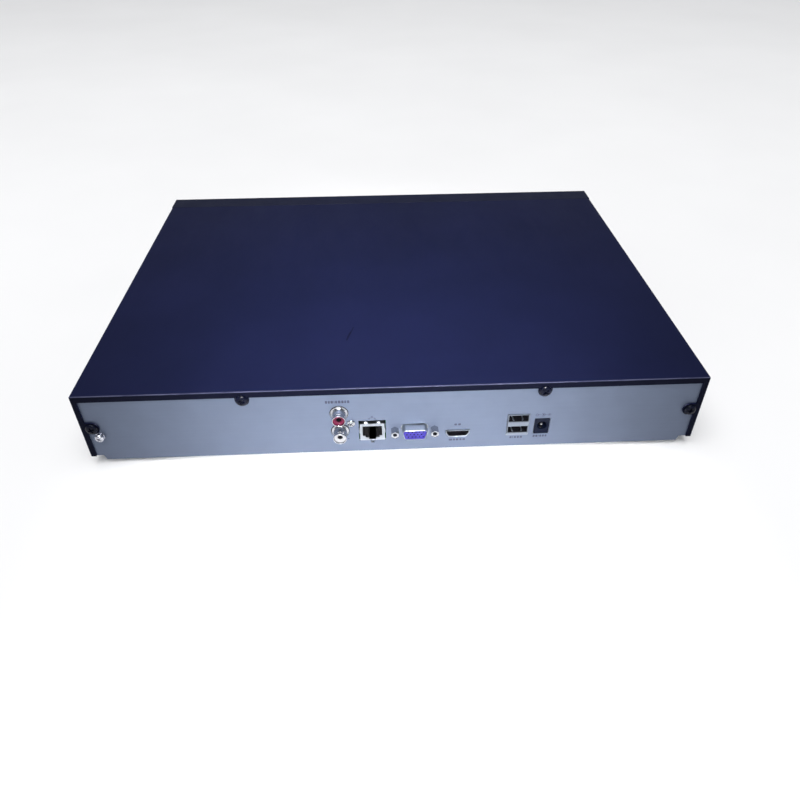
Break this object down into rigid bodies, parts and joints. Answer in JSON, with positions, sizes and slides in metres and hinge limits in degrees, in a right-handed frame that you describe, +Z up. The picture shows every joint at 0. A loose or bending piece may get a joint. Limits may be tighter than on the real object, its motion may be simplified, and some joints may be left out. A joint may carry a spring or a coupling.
{
  "type": "digital video recorder",
  "caption": "Flat sheet-metal video recorder with a slide-off top cover, hard drives and a main board inside, and a panel of audio, network, video, USB and power sockets at the rear.",
  "frame": {"origin": "on the surface the feet stand on, under the middle of the whole object", "axes": "+X along the width, to the left seen from behind; +Y out of the socket panel, so the front bezel faces -Y; +Z up"},
  "size_m": [0.385, 0.3068, 0.0545],
  "materials": {
    "cover_paint": "fine-textured black powder coat with a blue cast",
    "tray_steel": "satin galvanised sheet",
    "black_screw": "black oxide",
    "bright_screw": "zinc plated",
    "nickel": "nickel plated",
    "tinplate": "tin plated",
    "foot_rubber": "matt",
    "bezel_plastic": "fine matt texture",
    "lens_plastic": "polished, smoked",
    "black_plastic": "moulded",
    "white_plastic": "moulded",
    "red_plastic": "moulded",
    "blue_plastic": "moulded",
    "clear_plastic": "clear, moulded",
    "board_laminate": "green solder mask",
    "chip_resin": "moulded resin",
    "dark_aluminium": "black anodised",
    "cast_aluminium": "as cast, dark coated",
    "lid_steel": "brushed stainless",
    "red_cable": "PVC sheath",
    "black_cable": "PVC sheath"
  },
  "bodies": {
    "chassis": {"chassis_tray": "tray_steel", "foot_front_left": "foot_rubber", "foot_front_right": "foot_rubber", "foot_rear_left": "foot_rubber", "foot_rear_right": "foot_rubber", "front_bezel": "bezel_plastic", "front_lens": "lens_plastic", "status_light_bar": "clear_plastic", "front_board": "board_laminate", "main_board": "board_laminate", "front_usb_socket": "tinplate", "power_switch": "black_plastic", "processor": "chip_resin", "network_transformer": "chip_resin", "processor_heatsink": "dark_aluminium", "coin_cell": "bright_screw", "coin_cell_holder": "black_plastic", "buzzer": "black_plastic", "power_header": "white_plastic", "drive_1_base": "cast_aluminium", "drive_1_lid": "lid_steel", "data_socket_1": "black_plastic", "data_cable_1": "red_cable", "drive_2_base": "cast_aluminium", "drive_2_lid": "lid_steel", "data_socket_2": "black_plastic", "data_cable_2": "red_cable", "drive_power_harness": "black_cable", "front_lead": "black_cable", "fan_lead": "black_cable", "fan_frame": "black_plastic", "audio_housing": "black_plastic", "audio_sleeve_red": "nickel", "audio_sleeve_white": "nickel", "audio_insert_red": "red_plastic", "audio_insert_white": "white_plastic", "audio_screw": "bright_screw", "lan_shield": "tinplate", "vga_shell": "tinplate", "digital_video_shell": "tinplate", "usb_shell": "tinplate", "lan_insert": "black_plastic", "digital_video_insert": "black_plastic", "usb_tongue_upper": "black_plastic", "usb_tongue_lower": "black_plastic", "dc_socket": "black_plastic", "vga_insert": "blue_plastic", "vga_post_left": "nickel", "vga_post_right": "nickel", "dc_pin": "nickel", "ground_screw": "bright_screw"},
    "cover": {"top_cover": "cover_paint", "cover_screw_top_left": "black_screw", "cover_screw_top_right": "black_screw", "cover_screw_side_left": "black_screw", "cover_screw_side_right": "black_screw"},
    "fan_wheel": {"fan_rotor": "black_plastic"},
    "button": {"power_button": "bezel_plastic"},
    "plunger": {"switch_plunger": "white_plastic"}
  },
  "joints": [
    {"name": "cover_slide", "type": "slide", "parent": "chassis", "child": "cover", "axis": [0, 1, 0], "range_m": [0, 0.29]},
    {"name": "fan_spin", "type": "hinge", "parent": "chassis", "child": "fan_wheel", "pos_m": [0.1851, 0.0854, 0.0281], "axis": [1, 0, 0], "continuous": true},
    {"name": "button_press", "type": "slide", "parent": "chassis", "child": "button", "axis": [0, 1, 0], "range_m": [0, 0.001], "stiffness_N_per_m": 400, "springref_m": -0.002},
    {"name": "plunger_press", "type": "slide", "parent": "chassis", "child": "plunger", "axis": [0, 1, 0], "range_m": [0, 0.001]}
  ],
  "couplings": [
    {"joint": "plunger_press", "follows": "button_press", "ratio": 1}
  ]
}
